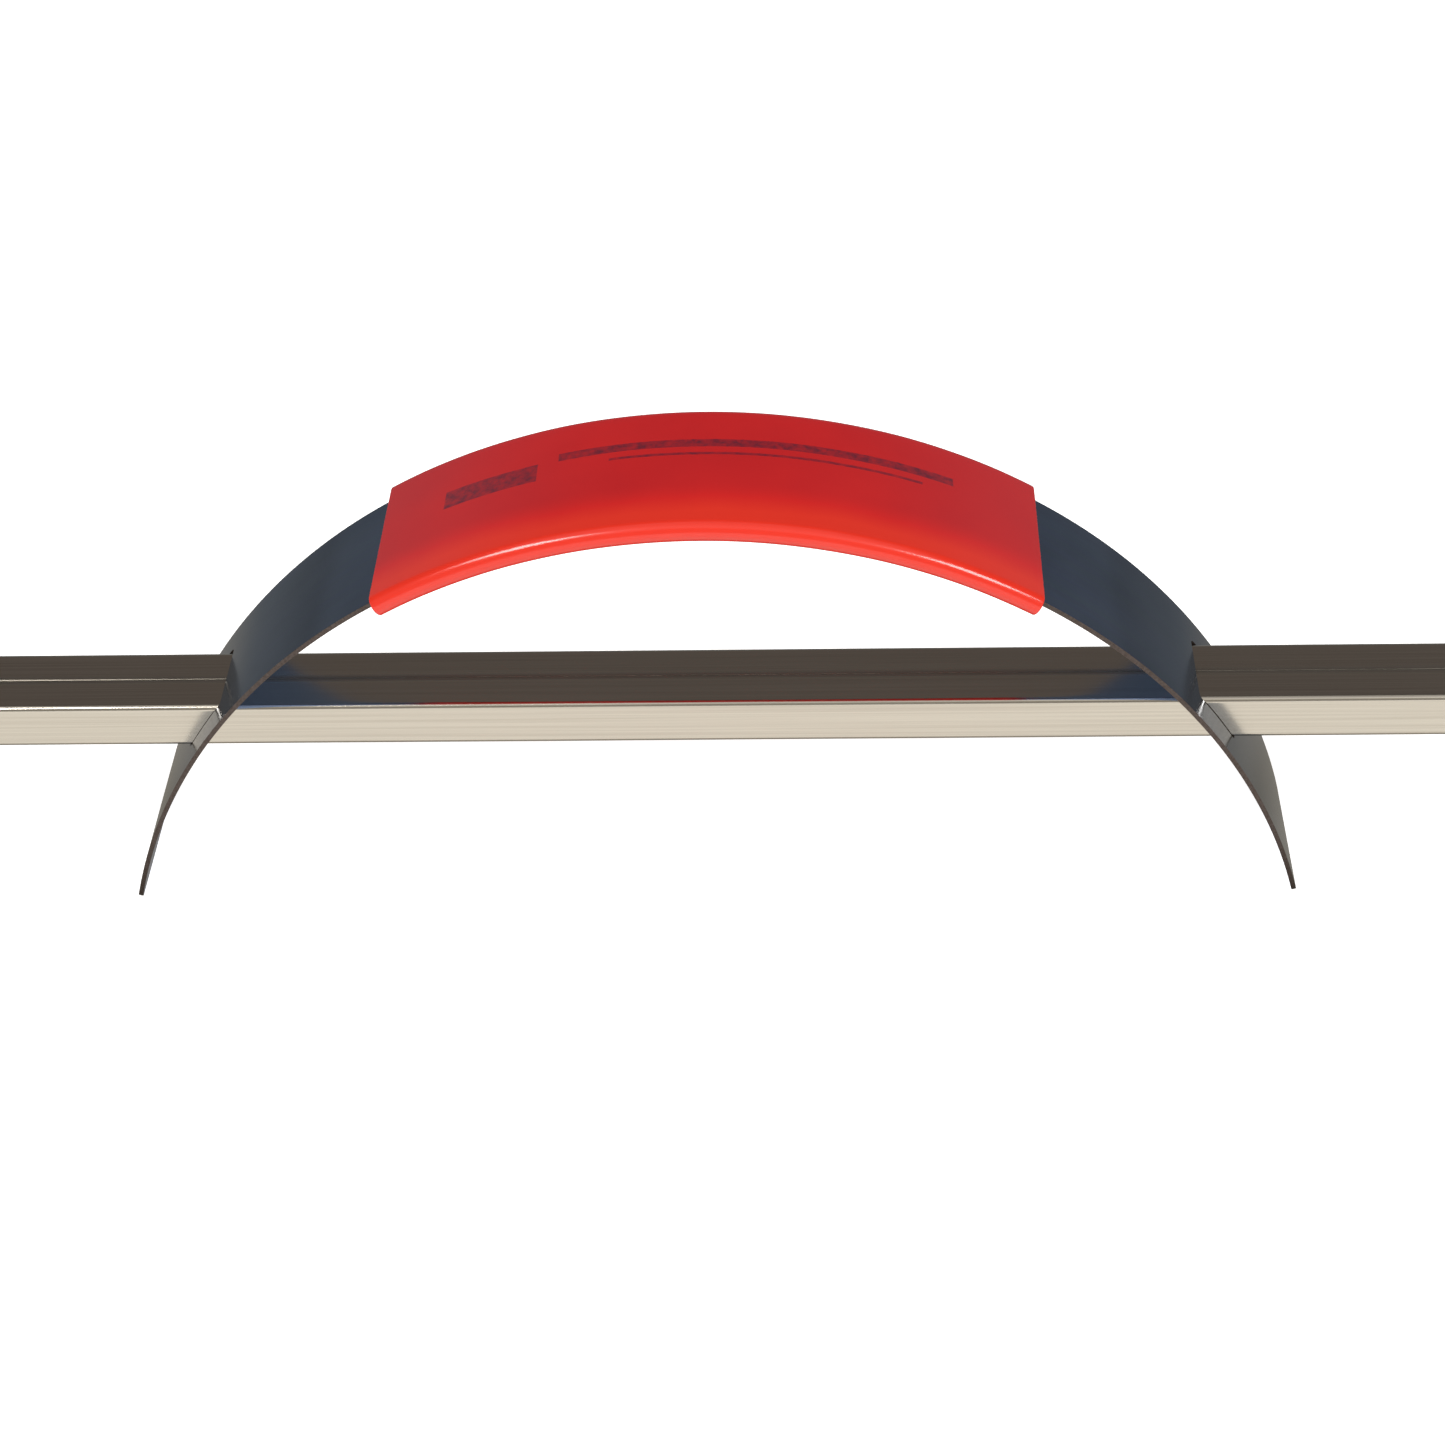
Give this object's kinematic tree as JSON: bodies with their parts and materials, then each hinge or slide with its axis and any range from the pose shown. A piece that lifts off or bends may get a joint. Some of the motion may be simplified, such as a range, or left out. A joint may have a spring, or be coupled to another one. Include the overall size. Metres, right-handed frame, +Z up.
{
  "type": "magnetic nail sweeper",
  "caption": "Long magnet bar carried in the windows of an arched spring-steel strap that serves as gripped handle and feet; the strap slides along the bar to wipe nails off.",
  "frame": {"origin": "on the floor under the middle of the bar, level with the bottom corners of the strap's two feet", "axes": "+X along the bar to the right, +Y to the back, +Z up"},
  "size_m": [0.61, 0.0452, 0.1037],
  "materials": {
    "spring_steel": "blue-tempered strip",
    "red_vinyl": "glossy moulded vinyl",
    "stainless_sheet": "bright rolled stainless",
    "mild_steel": "plain rolled strip",
    "packing_foam": "closed-cell foam tape",
    "black_plastic": "moulded satin",
    "rivet_aluminium": "plain drawn",
    "ferrite": "ground sintered ferrite"
  },
  "bodies": {
    "handle": {"handle_strap": "spring_steel", "grip_sleeve": "red_vinyl"},
    "bar": {"bar_case": "stainless_sheet", "backing_strip": "mild_steel", "packing_strip": "packing_foam", "end_plug_left": "black_plastic", "end_plug_right": "black_plastic", "end_rivet_left": "rivet_aluminium", "end_rivet_right": "rivet_aluminium", "magnet_01": "ferrite", "magnet_02": "ferrite", "magnet_03": "ferrite", "magnet_04": "ferrite", "magnet_05": "ferrite", "magnet_06": "ferrite", "magnet_07": "ferrite", "magnet_08": "ferrite", "magnet_09": "ferrite", "magnet_10": "ferrite", "magnet_11": "ferrite", "magnet_12": "ferrite"}
  },
  "joints": [
    {"name": "bar_slide", "type": "slide", "parent": "handle", "child": "bar", "axis": [1, 0, 0], "range_m": [-0.181, 0.181]}
  ]
}
